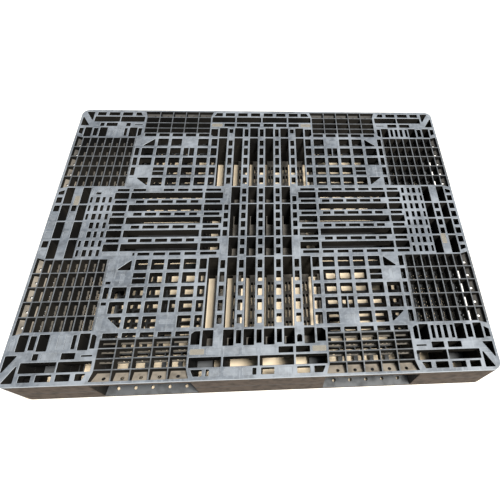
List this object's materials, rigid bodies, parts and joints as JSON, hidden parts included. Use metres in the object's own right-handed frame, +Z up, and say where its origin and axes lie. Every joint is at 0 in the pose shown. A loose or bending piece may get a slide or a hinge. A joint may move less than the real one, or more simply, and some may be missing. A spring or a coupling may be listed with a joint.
{
  "type": "plastic pallet",
  "caption": "Four-way entry plastic pallet: two open-grid mouldings welded together over hollow blocks and fork tunnels, with anti-slip pads.",
  "frame": {"origin": "centre of the footprint on the ground, under the middle of the pallet", "axes": "+X along the long side, +Y along the short side, +Z up"},
  "size_m": [1.4, 1.1, 0.14],
  "materials": {
    "moulding": "charcoal recycled plastic, satin, scuffed and dusty on the decks",
    "pad": "matte anti-slip rubber, finely speckled"
  },
  "bodies": {
    "root": {"upper_half": "moulding", "lower_half": "moulding", "upper_pad_front_left": "pad", "upper_pad_front_right": "pad", "upper_pad_back_left": "pad", "upper_pad_back_right": "pad", "upper_pad_right_side": "pad", "upper_pad_left_side": "pad", "lower_pad_front_left": "pad", "lower_pad_front_right": "pad", "lower_pad_back_left": "pad", "lower_pad_back_right": "pad", "lower_pad_right_side": "pad", "lower_pad_left_side": "pad"}
  },
  "joints": []
}
